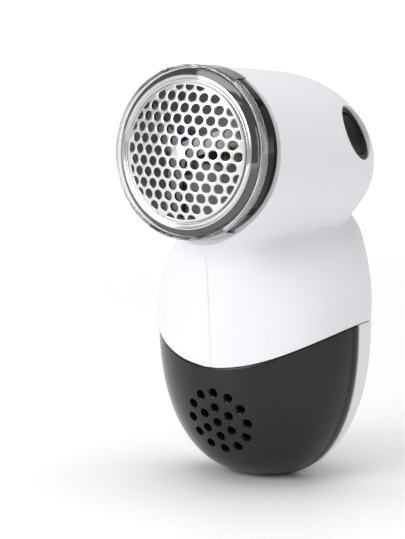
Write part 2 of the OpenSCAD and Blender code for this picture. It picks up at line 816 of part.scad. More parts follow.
module cell_springs() color("silver") {
    spring_h = tray_top - contact_t - nub_h - cell_l - tray_floor - 2 * spring_wire;
    translate([cell_x, cell_y, tray_floor + spring_wire]) tube(coil(3, 2, 0, spring_h), spring_wire);
    translate([-cell_x, cell_y, tray_top - spring_wire]) mirror([0, 0, 1])
        tube(coil(3, 2, 0, spring_h), spring_wire);
}
module cell_contacts() color([0.8, 0.8, 0.8]) {
    translate([cell_x - 5, cell_y - 4, tray_top - contact_t]) cube([10, 8, contact_t]);
    translate([-cell_x - 5, cell_y - 4, tray_floor]) cube([10, 8, contact_t]);
}

// Button: a fixed bezel, a dished cap, and the latching switch that the cap's plunger works.
cap_r = 6.2;
bezel_bore = cap_r + 0.3;
bezel_front = -0.5;
bezel_deep = -3.5;
cap_front = -1.1;
dish_r = 14;
dish_depth = 1.2;
flange_r = 7.2;
flange_back = bezel_deep - 1.3;
plunger_r = 1.5;
switch_front = flange_back - button_travel - 0.3;
switch_h = 6;
switch_half_w = 3.5;
module button_bezel() color([0.2, 0.2, 0.21]) in_button() {
    rotate_extrude() polygon([
        [bezel_bore, bezel_deep], [bezel_r, bezel_deep], [bezel_r, bezel_front - 0.6],
        [bezel_r - 0.2, bezel_front - 0.15], [bezel_r - 0.6, bezel_front],
        [bezel_bore + 0.3, bezel_front - 0.2], [bezel_bore, bezel_front - 0.6]
    ]);
}
module button_cap() color([0.08, 0.08, 0.09]) in_button() {
    difference() {
        union() {
            translate([0, 0, flange_back]) cylinder(r = cap_r, h = cap_front - flange_back);
            translate([0, 0, flange_back]) cylinder(r = flange_r, h = 1);
        }
        translate([0, 0, cap_front - dish_depth + dish_r]) sphere(r = dish_r, $fn = 160);
    }
}
module switch_plunger() color([0.9, 0.9, 0.9]) in_button() {
    translate([0, 0, switch_front - 2.5]) cylinder(r = plunger_r, h = flange_back - switch_front + 2.5);
}
module push_switch() color([0.15, 0.15, 0.17]) in_button() {
    difference() {
        translate([-switch_half_w, -switch_half_w, switch_front - switch_h])
            cube([2 * switch_half_w, 2 * switch_half_w, switch_h]);
        translate([0, 0, switch_front - 4.8]) cylinder(r = plunger_r + 0.08, h = 6);
    }
}
module switch_bracket() color([0.25, 0.45, 0.25]) in_button() {
    translate([-4.5, -5, switch_front - switch_h - 1.1]) cube([8, 10, 1]);
}

// Leads, along routes chosen by hand.
lead_r = 0.5;
module wire_positive() color("red")
    tube(route([[11, 9, 70.4], [12.5, 9, 74], [14, 9, 80], [13.5, 8, 86], [11.6, 8, 90]]), lead_r);
module wire_negative() color("black")
    tube(route([[-11, 9, 70.4], [-12, 11, 75], [-10, 14, 81], [-7, 14, 86], [-6, 13.6, 89.4]]), lead_r);
module wire_motor() color("red")
    tube(route([[10.4, 11, 92], [9.5, 14.5, 92.5], [7.6, 15, 91.6], [6.4, 13, 91.4]]), lead_r);

housing_right();
housing_left();
head_collar();
lock_ring();
foil();
spacer_guard();
cutter_chamber();
cutter_hub();
cutter_blades();
hub_spring();
motor_can();
motor_magnets();
motor_armature();
motor_shaft();
shaft_bushes();
motor_end_cap();
motor_terminals();
motor_screws();
motor_cradle();
lint_duct();
seam_floor();
lint_bin();
battery_door();
battery_tray();
battery_cells();
cell_springs();
cell_contacts();
button_bezel();
button_cap();
push_switch();
switch_plunger();
switch_bracket();
wire_positive();
wire_negative();
wire_motor();
housing_screws();
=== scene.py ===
"""Fabric shaver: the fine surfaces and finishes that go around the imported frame.

Lengths in the shape functions are millimetres; loose() turns them into metres.
"""

import math

import bmesh
import bpy
import numpy as np
from mathutils import Matrix, Vector
from mathutils.geometry import delaunay_2d_cdt


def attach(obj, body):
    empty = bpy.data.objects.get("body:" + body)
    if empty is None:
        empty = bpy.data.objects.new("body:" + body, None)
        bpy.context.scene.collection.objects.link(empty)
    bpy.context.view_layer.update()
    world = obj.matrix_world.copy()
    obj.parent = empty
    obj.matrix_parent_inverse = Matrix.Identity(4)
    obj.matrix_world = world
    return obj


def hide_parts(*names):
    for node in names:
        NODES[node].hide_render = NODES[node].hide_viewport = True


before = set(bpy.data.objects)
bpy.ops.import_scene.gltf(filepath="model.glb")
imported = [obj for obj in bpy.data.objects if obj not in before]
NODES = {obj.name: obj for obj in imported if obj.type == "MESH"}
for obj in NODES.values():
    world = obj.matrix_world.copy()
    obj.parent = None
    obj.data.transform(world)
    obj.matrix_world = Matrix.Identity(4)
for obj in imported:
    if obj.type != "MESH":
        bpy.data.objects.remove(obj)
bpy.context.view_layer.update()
MM, MICRON = 0.001, 1e-6
BAND_W, BAND_STEP, BAND_EASE, BAND_LAP, SPLIT_EASE = 2.0, 0.18, 0.3, 0.4, 0.15

# ---------------------------------------------------------------- the body's form

RING_Y, RING_Z, TILT = -39.0, 97.7, math.radians(7)
HEAD_R, MOUTH_R, MOUTH_BACK = 24.4, 24.0, 9.0
MOUTH_FALL, MOUTH_SPARE = 40.0, 1.5
FAT_BACK, TAIL, TAIL_POWER = 42.0, 34.3, 2.05
DROP, DROP_BACK, WIDE, WIDE_BACK = 3.2, 80.0, 1.14, 45.0
HALF_W, HALF_D, MID_Z, HALF_H, ROUND = 31.5, 28.4, 47.0, 47.6, 2.45
NECK_W, NECK_D, NECK_BACK, NECK_RISE, NECK_HOLD = 24.5, 32.0, 2.5, 20.0, 1.6
SHOULDER, NECK_LEAN, NOWHERE = 16.0, 1.5, -1000.0
FILLET_FRONT, FILLET_REAR, FILLET_Y, FILLET_RUN = 200.0, 15.0, -5.0, 35.0
CHIN, CHIN_Y, CHIN_Z, CHIN_REACH = 120.0, -28.0, 69.0, 6.0
SEAM_Y, SEAM_Z, SEAM_R, GAP, PARTING_Y = 2.9, -2.0, 48.0, 0.3, 0.8
FAN_Y, FAN_Z, WALL, SEAM_TIP = 2.0, 37.0, 1.8, 0.15
HALVINGS, RAY_STEP, RAY_END = 34, 0.75, 90


def keep_sign(value, power):
    """The power of the size of value, with value's own sign."""
    return np.sign(value) * np.abs(value) ** power


def half_width2(y, z, inset=0.0):
    """Square of the half width at a point of the middle plane. The barrel is a circle whose radius
    flares to its fattest place and closes in a power-law tail; the handle is an ellipse at each
    level, tapered to a neck and closed by a shoulder. The larger wins, plus a fillet that decays
    with the difference of the two."""
    dy, dz = y - RING_Y, z - RING_Z
    back = dy * math.cos(TILT) - dz * math.sin(TILT)
    up = dy * math.sin(TILT) + dz * math.cos(TILT)
    up = up + DROP * (np.maximum(back, 0) / DROP_BACK) ** 2
    flare = (FAT_BACK - back) / (FAT_BACK - MOUTH_BACK)
    tail = np.maximum((back - FAT_BACK) / (TAIL - inset), 0)
    radius2 = np.where(
        back < FAT_BACK,
        (HEAD_R - inset - (HEAD_R - MOUTH_R) * flare**2) ** 2,
        (HEAD_R - inset) ** 2 * keep_sign(1 - tail**TAIL_POWER, 2 / TAIL_POWER),
    )
    wide = 1 + (WIDE - 1) * np.clip(back / WIDE_BACK, 0, 1)
    before_mouth = np.maximum(MOUTH_BACK - MOUTH_SPARE - back, 0)
    barrel = (radius2 - up**2) * wide**2 - MOUTH_FALL * before_mouth**2
    rise = z - MID_Z
    under = 1 - (np.abs(np.minimum(rise, 0)) / (HALF_H - inset)) ** ROUND
    size = keep_sign(under, 1 / ROUND)
    neck = np.clip(rise / NECK_RISE, 0, NECK_HOLD)
    over = np.maximum(rise - NECK_RISE, 0) / SHOULDER
    half_w = (HALF_W - inset) * size - (HALF_W - NECK_W) * neck**2
    half_d = (HALF_D - inset) * size + (NECK_D - HALF_D) * neck
    across = (y - NECK_BACK * neck**NECK_LEAN) / np.maximum(1, half_d)
    handle = np.where(size > 0, half_w**2 * (1 - over**2 - across**2), NOWHERE)
    full = FILLET_FRONT + (FILLET_REAR - FILLET_FRONT) * np.clip((y - FILLET_Y) / FILLET_RUN, 0, 1)
    full = full + CHIN * np.exp(-((y - CHIN_Y) ** 2 + (z - CHIN_Z) ** 2) / CHIN_REACH**2)
    return np.maximum(barrel, handle) + full / 2 * np.exp(-np.abs(barrel - handle) / full)


def crossing(inside, outside, value):
    """Where value changes from positive to negative between two arrays, by halving."""
    for _ in range(HALVINGS):
        middle = (inside + outside) / 2
        kept = value(middle) >= 0
        inside, outside = np.where(kept, middle, inside), np.where(kept, outside, middle)
    return inside


def on_ray(angle, run):
    """The point at a distance from the fan's centre: 0 degrees is up, positive leans to the front."""
    a = np.radians(angle)
    return FAN_Y - run * np.sin(a), FAN_Z + run * np.cos(a)


def ray_exit(angle, start, inset):
    """Where a ray leaves the body: the first sample outside, then halving back to the outline."""
    steps = start + np.arange(0, RAY_END, RAY_STEP)[:, None]
    outside = half_width2(*on_ray(angle, steps), inset) < 0
    first = np.take_along_axis(steps, np.argmax(outside, axis=0)[None, :], 0)[0]
    return crossing(first - RAY_STEP, first, lambda run: half_width2(*on_ray(angle, run), inset))


def seam_run(angle):
    """Distance along a ray to the curved seam's circle."""
    a = np.radians(angle)
    dy, dz = FAN_Y - SEAM_Y, FAN_Z - SEAM_Z
    along = -dy * np.sin(a) + dz * np.cos(a)
    radius = SEAM_R + GAP / 2
    return -along + np.sqrt(along**2 + radius**2 - dy**2 - dz**2)


def mouth_run(angle):
    """Distance along a ray to the mouth's plane, which stands across the barrel's axis."""
    dy, dz = FAN_Y - RING_Y, FAN_Z - RING_Z
    back = dy * math.cos(TILT) - dz * math.sin(TILT)
    return (back - MOUTH_BACK) / np.sin(np.radians(angle) + TILT)


def mouth_angle(side):
    """Angle of the ray to the mouth's upper (side 1) or lower (side -1) edge."""

    def place(up):
        y = RING_Y + MOUTH_BACK * math.cos(TILT) + side * up * math.sin(TILT)
        z = RING_Z - MOUTH_BACK * math.sin(TILT) + side * up * math.cos(TILT)
        return y, z

    up = crossing(np.array(0.0), np.array(MOUTH_R + 6), lambda u: half_width2(*place(u)))
    y, z = place(up)
    return math.degrees(math.atan2(FAN_Y - y, z - FAN_Z))


def seam_tip(inner, outer):
    """Angle at which the seam meets the outline, by halving between two angles."""
    for _ in range(HALVINGS):
        middle = (inner + outer) / 2
        short = ray_exit(np.array([middle]), 0.0, 0.0)[0] < seam_run(middle) + SEAM_TIP
        inner, outer = (inner, middle) if short else (middle, outer)
    return inner


# ---------------------------------------------------------------- meshes


def grid_faces(columns, rows, round_columns=False, round_rows=False):
    """Quads of a grid of points listed column by column, closed round either way if asked."""
    i = np.arange(columns if round_columns else columns - 1)[:, None]
    j = np.arange(rows if round_rows else rows - 1)[None, :]
    i2, j2 = (i + 1) % columns, (j + 1) % rows
    corners = [i * rows + j, i2 * rows + j, i2 * rows + j2, i * rows + j2]
    return np.stack(np.broadcast_arrays(*corners), -1).reshape(-1, 4)


def band_faces(low, high):
    """Quads between two equal lists of point numbers."""
    return np.stack([low[:-1], low[1:], high[1:], high[:-1]], -1)


def shell_faces(columns, rows, last_side=True):
    """Faces of an outer and an inner grid, joined by a rim along all four sides, or along all but
    the last column."""
    skin = grid_faces(columns, rows)
    inner = columns * rows
    first, last = np.arange(rows), (columns - 1) * rows + np.arange(rows)
    low, high = np.arange(columns) * rows, np.arange(columns) * rows + rows - 1
    last_band = [band_faces(last, inner + last)] if last_side else []
    return np.concatenate([
        skin,
        inner + skin[:, ::-1],
        band_faces(first, inner + first)[:, ::-1],
        *last_band,
        band_faces(low, inner + low),
        band_faces(high, inner + high)[:, ::-1],
    ])


def settle(mesh, merge=2e-7):
    """Merges doubled points, drops faces without area, and turns every face outwards."""
    work = bmesh.new()
    work.from_mesh(mesh)
    bmesh.ops.remove_doubles(work, verts=work.verts, dist=merge)
    bmesh.ops.dissolve_degenerate(work, edges=work.edges, dist=merge)
    bmesh.ops.recalc_face_normals(work, faces=work.faces)
    if work.calc_volume(signed=True) < 0:
        bmesh.ops.reverse_faces(work, faces=work.faces)
    work.to_mesh(mesh)
    work.free()


def loose(name, points, faces, merge=2e-7):
    """An object from points in millimetres and faces, not yet part of anything."""
    mesh = bpy.data.meshes.new(name)
    faces = faces.tolist() if isinstance(faces, np.ndarray) else faces
    mesh.from_pydata((np.asarray(points, float) * MM).tolist(), [], faces)
    settle(mesh, merge)
    made = bpy.data.objects.new(name, mesh)
    bpy.context.scene.collection.objects.link(made)
    return made


def piece(made, body, finish, stands_for, crease=38):
    """Smooths an object except along creases, gives it its finish and body, and hides the frame's parts
    that it stands for.
    """
    made.data.polygons.foreach_set("use_smooth", [True] * len(made.data.polygons))
    made.data.set_sharp_from_angle(angle=math.radians(crease))
    made.data.materials.clear()
    made.data.materials.append(finish)
    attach(made, body)
    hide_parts(*stands_for)


def combine(made, others, operation):
    """Cuts others from an object, or adds them to it, and applies the result."""
    for other in others:
        step = made.modifiers.new("cut", "BOOLEAN")
        step.operation = operation
        step.solver = "EXACT"
        step.object = other
        bpy.context.view_layer.objects.active = made
        with bpy.context.temp_override(object=made, active_object=made):
            bpy.ops.object.modifier_apply(modifier=step.name)
        bpy.data.objects.remove(other)
    return made


def in_head(points):
    """Barrel's own frame: local Z points out of the mouth and local Y up, from the ring's face."""
    x, y, z = np.moveaxis(np.asarray(points, float), -1, 0)
    return np.stack([
        x,
        RING_Y + y * math.sin(TILT) - z * math.cos(TILT),
        RING_Z + y * math.cos(TILT) + z * math.sin(TILT),
    ], -1)


BUTTON_AT, BUTTON_TURN, BUTTON_TILT = (24, 10.5, 99.4), math.radians(17), math.radians(64)
BUTTON = Matrix.Translation(BUTTON_AT) @ (
    Matrix.Rotation(BUTTON_TURN, 4, "Z") @ Matrix.Rotation(BUTTON_TILT, 4, "Y")
)


def in_button(points):
    """Button's own frame: local Z points out of the barrel's side."""
    m = np.array(BUTTON)
    return np.asarray(points, float) @ m[:3, :3].T + m[:3, 3]


def eased(corners, radius, steps=5, closed=True):
    """A profile with each corner replaced by a quadratic curve whose ends lie up to radius away."""
    p = np.asarray(corners, float)
    before, after = np.roll(p, 1, 0), np.roll(p, -1, 0)
    into, out = before - p, after - p
    reach_in, reach_out = np.linalg.norm(into, axis=1), np.linalg.norm(out, axis=1)
    cut = np.minimum(radius, 0.45 * np.minimum(reach_in, reach_out))
    if not closed:
        cut[0] = cut[-1] = 0
    a = p + into / np.maximum(reach_in, 1e-9)[:, None] * cut[:, None]
    b = p + out / np.maximum(reach_out, 1e-9)[:, None] * cut[:, None]
    t = np.linspace(0, 1, steps)[None, :, None]
    curve = a[:, None] * (1 - t) ** 2 + 2 * p[:, None] * t * (1 - t) + b[:, None] * t**2
    return curve.reshape(-1, 2)


def turned(name, profile, place, steps=192, closed=True):
    """Turns a profile of (radius, height) about local Z: x = r cos a, y = r sin a."""
    p = np.asarray(profile, float)
    a = np.linspace(0, 2 * math.pi, steps, endpoint=False)[:, None]
    z = np.broadcast_to(p[:, 1], (steps, len(p)))
    points = np.stack([p[:, 0] * np.cos(a), p[:, 0] * np.sin(a), z], -1).reshape(-1, 3)
    return loose(name, place(points), grid_faces(steps, len(p), True, closed))


# ---------------------------------------------------------------- finishes


class Link:
    """A socket that takes part in sums: each operator adds one Math node."""

    def __init__(self, tree, socket):
        self.tree, self.socket = tree, socket

    def math(self, operation, first, second):
        made = self.tree.nodes.new("ShaderNodeMath")
        made.operation = operation
        for slot_number, value in enumerate([first, second]):
            if isinstance(value, Link):
                self.tree.links.new(value.socket, made.inputs[slot_number])
            else:
                made.inputs[slot_number].default_value = value
        return Link(self.tree, made.outputs[0])

    def __add__(self, other):
        return self.math("ADD", self, other)

    def __sub__(self, other):
        return self.math("SUBTRACT", self, other)

    def __rsub__(self, other):
        return self.math("SUBTRACT", other, self)

    def __mul__(self, other):
        return self.math("MULTIPLY", self, other)

    def __pow__(self, other):
        return self.math("POWER", self, other)

    __radd__, __rmul__ = __add__, __mul__

    def above(self, edge, width):
        """0 below the edge and 1 above it, with a soft step as wide as width."""
        return self.math("MAXIMUM", self.math("MINIMUM", (self - edge) * (1 / width), 1.0), 0.0)


class Finish:
    """One material on Object coordinates, with one method that makes any node."""

    def __init__(self, name, **uniform):
        self.material = bpy.data.materials.new(name)
        self.material.use_nodes = True
        self.tree = self.material.node_tree
        self.shader = self.tree.nodes["Principled BSDF"]
        for socket, value in uniform.items():
            self.shader.inputs[socket.replace("_", " ")].default_value = value
        self.place = self.node("ShaderNodeTexCoord", out="Object")

    def node(self, kind, settings=(), out=0, **inputs):
        """Makes a node: its settings first, then the values or links of its sockets."""
        made = self.tree.nodes.new(kind)
        for key, value in dict(settings).items():
            setattr(made, key, value)
        for key, value in inputs.items():
            key = key.replace("_", " ")
            socket = made.inputs[int(key[1:])] if key[1:].isdigit() else made.inputs[key]
            if isinstance(value, Link):
                self.tree.links.new(value.socket, socket)
            else:
                socket.default_value = value
        return Link(self.tree, made.outputs[out])

    def noise(self, per_metre, detail=3.0, stretch=None):
        """Noise with so many features to a metre, stretched along an axis if asked."""
        where = self.place
        if stretch:
            where = self.node("ShaderNodeMapping", out="Vector", Vector=where, Scale=stretch)
        return self.node("ShaderNodeTexNoise", Vector=where, Scale=per_metre, Detail=detail)

    def blend(self, share, low, high):
        """A colour between two, by a share from 0 to 1."""
        return self.node("ShaderNodeMix", {"data_type": "RGBA"}, out=2, i0=share, i6=low, i7=high)

    def feed(self, socket, link):
        """Leads what changes over the surface into one of the shader's sockets."""
        self.tree.links.new(link.socket, self.shader.inputs[socket])

    def bump(self, height, microns):
        """Surface relief of so many thousandths of a millimetre."""
        relief = self.node("ShaderNodeBump", out="Normal", Height=height, Distance=microns * MICRON)
        self.feed("Normal", relief)


def rgba(colour, gain=1.0):
    """A colour made brighter or darker, with full cover."""
    return (*[c * gain for c in colour], 1.0)


def plastic(name, colour, rough, coat=0.0, grain=12, spread=0.06, **more):
    """Moulded plastic: faint cloudy colour, mottled roughness, scuffs and a fine orange peel."""
    f = Finish(name, Coat_Roughness=0.06, IOR=1.5, **more)
    cloud, fine, peel = f.noise(45), f.noise(2600, 2), f.noise(420, 2)
    rub = f.noise(160, 5, (1, 1, 5)).above(0.60, 0.12)
    tone = cloud * 0.7 + fine * 0.3
    f.feed("Base Color", f.blend(tone, rgba(colour, 1 - spread), rgba(colour, 1 + spread * 0.5)))
    f.feed("Roughness", cloud * 0.05 + fine * 0.05 + rub * 0.05 + (rough - 0.05))
    f.feed("Coat Weight", (1 - rub * 0.4) * coat)
    f.bump(peel * 0.7 + fine * 0.3, grain)
    return f.material


def metal(name, colour, rough, brushed=None, grain=4, spread=0.12, stain=0.0):
    """Metal: cloudy tint, fine scratches along one way, smudged roughness."""
    f = Finish(name, Metallic=1.0)
    cloud, scratch = f.noise(60, 4), f.noise(700, 3, brushed or (1, 1, 1))
    mark = f.noise(240, 6).above(0.58, 0.14)
    dull = f.noise(120, 5).above(0.62, 0.1)
    wear = cloud * 0.6 + mark * 0.3 + dull * stain
    f.feed("Base Color", f.blend(wear, rgba(colour, 1.03), rgba(colour, 1 - spread)))
    f.feed("Roughness", scratch * 0.06 + mark * 0.05 + (rough - 0.03))
    f.bump(scratch, grain)
    return f.material


def two_tone_ring(name, dark, bright, split):
    """The ring's chrome: dark outside a radius from the barrel's axis and bright inside it."""
    f = Finish(name, Metallic=1.0)
    x, y, z = (f.node("ShaderNodeSeparateXYZ", out=k, Vector=f.place) for k in range(3))
    up = (y - RING_Y * MM) * math.sin(TILT) + (z - RING_Z * MM) * math.cos(TILT)
    radius = (x * x + up * up) ** 0.5
    outer = radius.above(split * MM, SPLIT_EASE * MM)
    cloud, scratch, mark = f.noise(60, 4), f.noise(700, 3), f.noise(240, 6).above(0.58, 0.14)
    dark_tone = f.blend(cloud, rgba(dark, 1.15), rgba(dark, 0.85))
    bright_tone = f.blend(cloud, rgba(bright, 1.04), rgba(bright, 0.92))
    f.feed("Base Color", f.blend(outer, bright_tone, dark_tone))
    f.feed("Roughness", scratch * 0.05 + mark * 0.05 + 0.06)
    f.bump(scratch, 2)
    return f.material


def smoky(name, colour, band, rough):
    """Smoked plastic of the bin: slow dark clouds, and a darker band along its rear edge."""
    f = Finish(name, IOR=1.5, Coat_Roughness=0.05, Specular_IOR_Level=0.3)
    y = f.node("ShaderNodeSeparateXYZ", out=1, Vector=f.place)
    rear = y.above(-(BAND_W + BAND_LAP) * MM, BAND_EASE * MM)
    cloud, slow, fine = f.noise(38, 2, (1, 1, 0.5)), f.noise(14), f.noise(2600, 2)
    tone = cloud * 0.6 + slow * 0.4
    face = f.blend(tone.above(0.3, 0.4), rgba(colour, 0.55), rgba(colour, 1.5))
    f.feed("Base Color", f.blend(rear, face, rgba(band)))
    rub = f.noise(160, 5, (1, 1, 5)).above(0.62, 0.12)
    f.feed("Roughness", cloud * 0.05 + fine * 0.03 + rub * 0.04 + (rough - 0.04))
    f.feed("Coat Weight", (1 - rear) * 0.12)
    f.bump(fine, 3)
    return f.material


def clear(name, colour, rough, **more):
    """Clear moulding: tinted, with smudges and faint flow lines."""
    f = Finish(name, Transmission_Weight=1.0, IOR=1.49, **more)
    smudge, flow = f.noise(150, 4), f.noise(500, 2, (1, 1, 6))
    f.feed("Base Color", f.blend(smudge, rgba(colour, 0.94), rgba(colour, 1.0)))
    f.feed("Roughness", smudge.above(0.5, 0.3) * 0.06 + rough)
    f.bump(flow, 6)
    return f.material


WHITE = (0.77, 0.77, 0.80)
finish = {
    "white_shell": plastic(
        "white_satin", WHITE, 0.46, coat=0.04, grain=5, spread=0.03, Specular_IOR_Level=0.3
    ),
    "black_chrome": metal("black_chrome", (0.014, 0.014, 0.015), 0.12, grain=2),
    "ring_chrome": two_tone_ring("ring_chrome", (0.12, 0.12, 0.119), (0.74, 0.74, 0.735), 21.45),
    "foil_steel": metal("foil_steel", (0.72, 0.71, 0.70), 0.36, grain=6, spread=0.08),
    "clear_guard": clear("clear_guard", (0.93, 0.95, 0.96), 0.04),
    "chamber_grey": plastic("chamber_grey", (0.40, 0.385, 0.38), 0.45),
    "hub_blue": plastic("hub_blue", (0.022, 0.030, 0.07), 0.38),
    "blade_steel": metal("blade_steel", (0.13, 0.13, 0.135), 0.34, (1, 6, 1)),
    "spring_steel": metal("spring_steel", (0.50, 0.50, 0.52), 0.25),
    "motor_steel": metal("motor_steel", (0.55, 0.55, 0.56), 0.30, (1, 6, 1), stain=0.3),
    "magnet_dark": plastic("magnet_dark", (0.05, 0.05, 0.055), 0.6, grain=40, spread=0.2),
    "armature_copper": metal("armature_copper", (0.75, 0.35, 0.16), 0.32, (1, 9, 1), grain=60),
    "bronze": metal("bronze", (0.50, 0.34, 0.14), 0.42, grain=20, stain=0.4),
    "nylon_white": plastic("nylon_white", (0.75, 0.74, 0.68), 0.5),
    "terminal_brass": metal("terminal_brass", (0.72, 0.55, 0.22), 0.3, stain=0.3),
    "screw_steel": metal("screw_steel", (0.42, 0.42, 0.43), 0.3, stain=0.3),
    "inner_white": plastic("inner_white", (0.72, 0.72, 0.73), 0.5),
    "smoky_bin": smoky("smoky_bin", (0.008, 0.008, 0.0078), (0.0015, 0.0015, 0.0015), 0.2),
    "tray_grey": plastic("tray_grey", (0.10, 0.10, 0.11), 0.5),
    "cell_jacket": plastic("cell_jacket", (0.10, 0.22, 0.16), 0.3, coat=0.4),
    "contact_nickel": metal("contact_nickel", (0.66, 0.64, 0.60), 0.28, stain=0.3),
    "bezel_dark": plastic(
        "bezel_dark", (0.007, 0.007, 0.0075), 0.34, coat=0.04, grain=3, Specular_IOR_Level=0.1
    ),
    "cap_black": plastic("cap_black", (0.004, 0.004, 0.0045), 0.45, grain=4, Specular_IOR_Level=0.12),
    "switch_black": plastic("switch_black", (0.02, 0.02, 0.022), 0.5),
    "board_green": plastic("board_green", (0.03, 0.14, 0.06), 0.4, spread=0.25),
    "lead_red": plastic("lead_red", (0.50, 0.03, 0.02), 0.45),
    "lead_black": plastic("lead_black", (0.02, 0.02, 0.02), 0.45),
}

# ---------------------------------------------------------------- housing halves

EDGE = 0.25
TAIL_COLUMNS, MOUTH_COLUMNS, CHIN_COLUMNS, SKIN_ROWS = 88, 40, 44, 56
BOSSES = [(-4, 55), (25.3, 65), (25, 91), (-1, 108.5)]
BOSS_R_RIGHT, BOSS_R_LEFT, BOSS_START, BOSS_SHORT = 3.0, 4.2, 0.05, 0.7
SCREW_SEAT, SCREW_R, SCREW_HEAD_R, SCREW_LOOSE, HEAD_LOOSE = 6.2, 1.25, 2.7, 0.25, 0.3
PILOT_END, THROUGH_END, WELL_END, CUT_START = 9, 7.5, 33.7, -1
ROD_SIDES, ROD_TURN, MOUTH_LIP = 40, 0.13, 0.2
BUTTON_HOLE_R, BUTTON_HOLE_LOW, BUTTON_HOLE_HIGH = 8.25, -12, 18


def fan():
    """Angles from the rear seam tip over the top, across the mouth and down to the front tip."""
    rear, front = seam_tip(-70.0, -100.0), seam_tip(70.0, 110.0)
    high, low = mouth_angle(1), mouth_angle(-1)
    tail = rear + (high - rear) * np.arange(TAIL_COLUMNS) / TAIL_COLUMNS
    across = np.arange(MOUTH_COLUMNS) / MOUTH_COLUMNS
    mouth = high + (low - high) * (1 - np.cos(np.pi * across)) / 2
    chin = low + (front - low) * np.arange(CHIN_COLUMNS + 1) / CHIN_COLUMNS
    return np.concatenate([tail, mouth, chin])


def housing_skin(angle, inset, eased_edges):
    """A column of points for each angle: run = start + (end - start) sin(90 j / rows), x = sqrt of
    the form's square. With eased edges, the outer points at the seam and at the middle plane sit
    a little deeper, so that the halves meet in a fine groove."""
    count = np.arange(len(angle))
    at_mouth = (count >= TAIL_COLUMNS) & (count <= TAIL_COLUMNS + MOUTH_COLUMNS)
    edge = (count > TAIL_COLUMNS) & (count < TAIL_COLUMNS + MOUTH_COLUMNS)
    start = seam_run(angle)

    def end(depth):
        out = ray_exit(angle, start - 1, depth)
        return np.where(at_mouth, mouth_run(angle), out)

    stop = end(inset)
    deep = end(inset + EDGE)
    first = np.minimum(start + EDGE, (start + stop) / 2)
    part = np.sin(np.linspace(0, np.pi / 2, SKIN_ROWS + 1))[None, :]
    run = first[:, None] + (stop - first)[:, None] * part
    x2 = half_width2(*on_ray(angle[:, None], run), inset)
    x = np.sqrt(np.maximum(x2, 0))
    x[:, -1] = np.where(edge, x[:, -1], MOUTH_LIP if eased_edges else 0.0)
    x[:, -2] = np.maximum(x[:, -2], x[:, -1])
    depth = EDGE if eased_edges else 0.0
    low_x = np.sqrt(np.maximum(half_width2(*on_ray(angle, start), inset + depth), 0))
    rim_run = np.where(at_mouth, stop, deep if eased_edges else stop)
    rim_x2 = half_width2(*on_ray(angle, rim_run), inset + depth)
    rim_x = np.where(edge, np.sqrt(np.maximum(rim_x2, 0)), 0.0)
    run = np.concatenate([start[:, None], run, rim_run[:, None]], 1)
    x = np.concatenate([low_x[:, None], x, rim_x[:, None]], 1)
    y, z = on_ray(angle[:, None], run)
    return np.stack([x, y, z], -1)


def rod(place, start, end, radius):
    """A round rod along X: the same circle at both ends, each closed by one face."""
    a = ROD_TURN + np.linspace(0, 2 * math.pi, ROD_SIDES, endpoint=False)
    ring = np.stack([a * 0, place[0] + radius * np.cos(a), place[1] + radius * np.sin(a)], -1)
    points = np.concatenate([ring + (start, 0, 0), ring + (end, 0, 0)])
    sides = grid_faces(2, ROD_SIDES, False, True).tolist()
    ends = [list(range(ROD_SIDES)), list(range(2 * ROD_SIDES - 1, ROD_SIDES - 1, -1))]
    return loose("rod", points, sides + ends)


def boss_reach(place, radius):
    """How far from the middle plane a boss stays inside the skin."""
    a = np.radians(np.arange(0, 360, 30))
    x2 = half_width2(place[0] + radius * np.cos(a), place[1] + radius * np.sin(a))
    return math.sqrt(max(0.0, float(x2.min()))) - BOSS_SHORT


def mirrored(made):
    """Turns x into -x and reverses the faces, so that they still point outwards."""
    made.data.transform(Matrix.Scale(-1, 4, (1, 0, 0)))
    made.data.flip_normals()
    return made


def housing_half(name, is_left):
    """One half of the housing with its screw bosses, made on the +X side. The left half takes the
    screw heads in deep wells, and is mirrored at the end; the right half has the button's hole."""
    angle = fan()
    outer, lining = housing_skin(angle, 0.0, True), housing_skin(angle, WALL, False)
    points = np.concatenate([outer.reshape(-1, 3), lining.reshape(-1, 3)])
    half = loose(name, points, shell_faces(len(angle), outer.shape[1]))
    radius = BOSS_R_LEFT if is_left else BOSS_R_RIGHT
    combine(half, [rod(p, BOSS_START, boss_reach(p, radius), radius) for p in BOSSES], "UNION")
    if is_left:
        through_r, well_r = SCREW_R + SCREW_LOOSE, SCREW_HEAD_R + HEAD_LOOSE
        combine(half, [rod(p, CUT_START, THROUGH_END, through_r) for p in BOSSES], "DIFFERENCE")
        combine(half, [rod(p, SCREW_SEAT, WELL_END, well_r) for p in BOSSES], "DIFFERENCE")
        return mirrored(half)
    combine(half, [rod(p, CUT_START, PILOT_END, SCREW_R) for p in BOSSES], "DIFFERENCE")
    low, high = BUTTON_HOLE_LOW, BUTTON_HOLE_HIGH
    profile = [[0, low], [BUTTON_HOLE_R, low], [BUTTON_HOLE_R, high], [0, high]]
    return combine(half, [turned("hole", profile, in_button, 96, False)], "DIFFERENCE")


for name, is_left in (("Housing_right", False), ("Housing_left", True)):
    half = housing_half(name, is_left)
    piece(half, "body", finish["white_shell"], [name.lower()])

# ---------------------------------------------------------------- bin and door

LEVELS, SIDE_POINTS, SINK_POWER, FIRST_SINK = 64, 56, 1.5, 0.006
CORNER, LINING_CORNER, CORNER_STEPS, PAST_END = 0.7, 0.5, 9, 1.2
VENT_Z, VENT_R, VENT_RINGS = 18.4, 1.4, ((1, 0.0), (6, 4.7), (12, 9.2))


